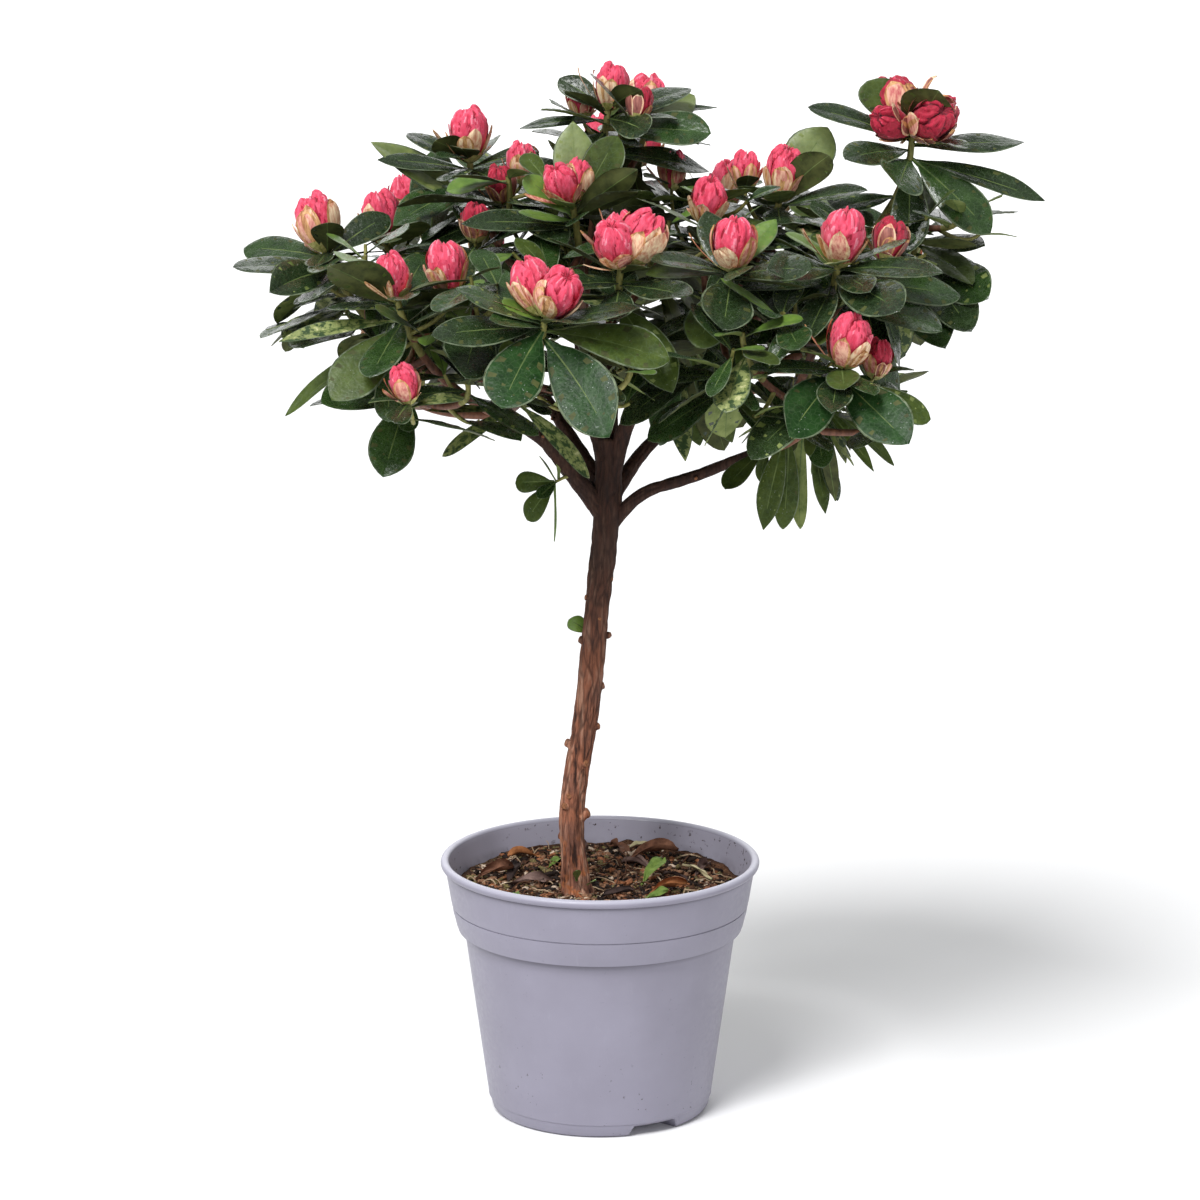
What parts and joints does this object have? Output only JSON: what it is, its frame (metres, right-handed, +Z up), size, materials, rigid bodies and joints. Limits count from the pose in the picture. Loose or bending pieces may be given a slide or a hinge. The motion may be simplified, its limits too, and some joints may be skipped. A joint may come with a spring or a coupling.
{
  "type": "potted rhododendron",
  "caption": "Small flowering azalea trained as a standard tree, with a bare stem, a budding domed crown and a plain round nursery pot.",
  "frame": {"origin": "centre of the pot's flat underside", "axes": "+Z up along the pot's axis, -Y towards the pictured side, +X to its right"},
  "size_m": [0.3597, 0.3097, 0.4923],
  "materials": {
    "pot": "matte grey",
    "soil": "moist peat",
    "bark": "fissured red-brown bark",
    "foliage": "glossy dark green leaves with pink-red buds"
  },
  "bodies": {
    "root": {"pot": "pot", "soil": "soil", "trunk": "bark", "bough_back": "bark", "bough_back_left": "bark", "bough_back_right": "bark", "bough_left": "bark", "bough_right": "bark", "bough_upper_left": "bark", "bough_upper_right": "bark", "foliage_back": "foliage", "foliage_back_left": "foliage", "foliage_back_low": "foliage", "foliage_back_low_left": "foliage", "foliage_back_low_right": "foliage", "foliage_back_right": "foliage", "foliage_centre": "foliage", "foliage_far_right": "foliage", "foliage_front_centre": "foliage", "foliage_front_left": "foliage", "foliage_front_right": "foliage", "foliage_hang_right": "foliage", "foliage_left_front": "foliage", "foliage_left_tip": "foliage", "foliage_low_left": "foliage", "foliage_low_right": "foliage", "foliage_mid_right": "foliage", "foliage_right": "foliage", "foliage_right_front": "foliage", "foliage_top": "foliage", "foliage_upper_left": "foliage"}
  },
  "joints": []
}
